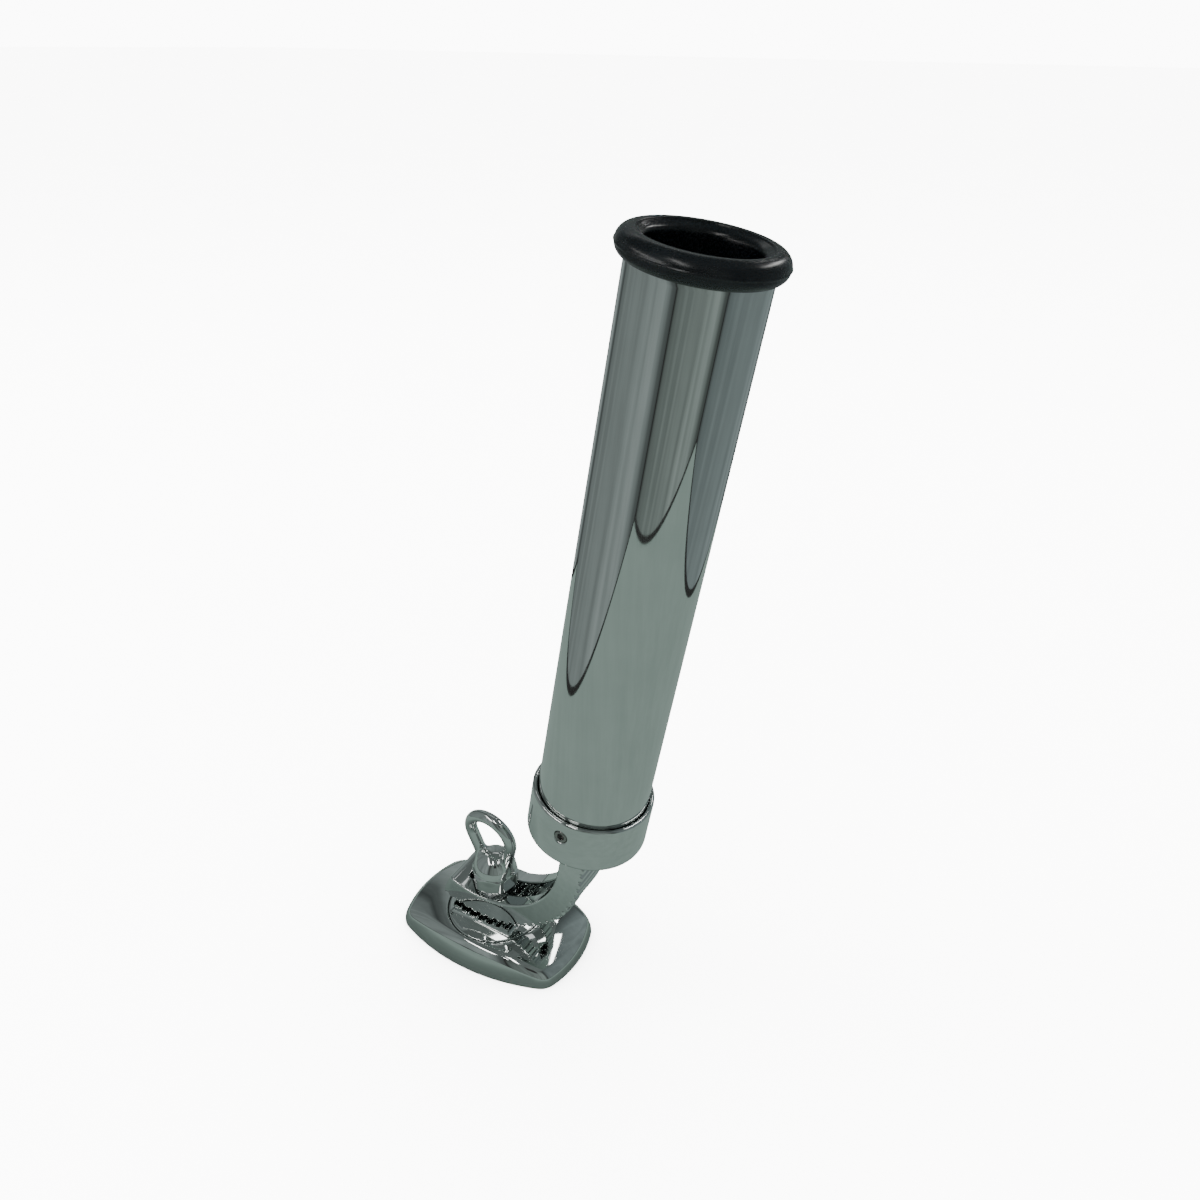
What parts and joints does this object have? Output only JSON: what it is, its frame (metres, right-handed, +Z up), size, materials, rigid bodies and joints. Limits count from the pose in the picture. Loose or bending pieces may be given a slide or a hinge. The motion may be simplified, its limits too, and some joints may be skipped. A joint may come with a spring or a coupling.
{
  "type": "adjustable rod holder",
  "caption": "Round tube rod holder with a black rubber mouth, on a toothed arm that tilts and swivels on a pillow-shaped deck base and is locked by a ring nut.",
  "frame": {"origin": "centre of the base's underside, on the swivel axis, in the plane of the deck", "axes": "+Z up out of the deck along the swivel axis, +X along the arm towards the tube, +Y across the arm"},
  "size_m": [0.1714, 0.064, 0.3581],
  "materials": {
    "polished_steel": "mirror-polished stainless steel",
    "plain_steel": "plain stainless steel",
    "rubber": "smooth black rubber, slightly glossy",
    "nylon": "natural nylon"
  },
  "bodies": {
    "base": {"base": "polished_steel", "clamp_bolt": "plain_steel", "bolt_washer": "plain_steel", "swivel_washer": "nylon"},
    "turntable": {"turntable": "polished_steel", "swivel_bush": "nylon", "seal_ring": "rubber"},
    "clamp": {"saddle_washer": "plain_steel", "nut_washer": "plain_steel"},
    "nut": {"ring_nut": "polished_steel"},
    "arm": {"arm": "polished_steel", "collar": "polished_steel", "collar_screw": "plain_steel", "lock_washer": "plain_steel", "set_screws": "plain_steel", "tube": "polished_steel", "tube_liner": "rubber", "butt_pad": "rubber"}
  },
  "joints": [
    {"name": "swivel", "type": "hinge", "parent": "base", "child": "turntable", "pos_m": [0, 0, 0.0088], "axis": [0, 0, 1], "continuous": true},
    {"name": "clamp_lift", "type": "slide", "parent": "turntable", "child": "clamp", "axis": [0, 0, 1], "range_m": [-0.0015, 0]},
    {"name": "nut_turn", "type": "hinge", "parent": "clamp", "child": "nut", "pos_m": [0, 0, 0.0374], "axis": [0, 0, 1], "range_deg": [-360, 0]},
    {"name": "tilt", "type": "hinge", "parent": "clamp", "child": "arm", "pos_m": [0, 0, 0.076], "axis": [0, 1, 0], "range_deg": [-10, 60]}
  ],
  "couplings": [
    {"joint": "nut_turn", "follows": "clamp_lift", "rad_per_m": 4188}
  ]
}
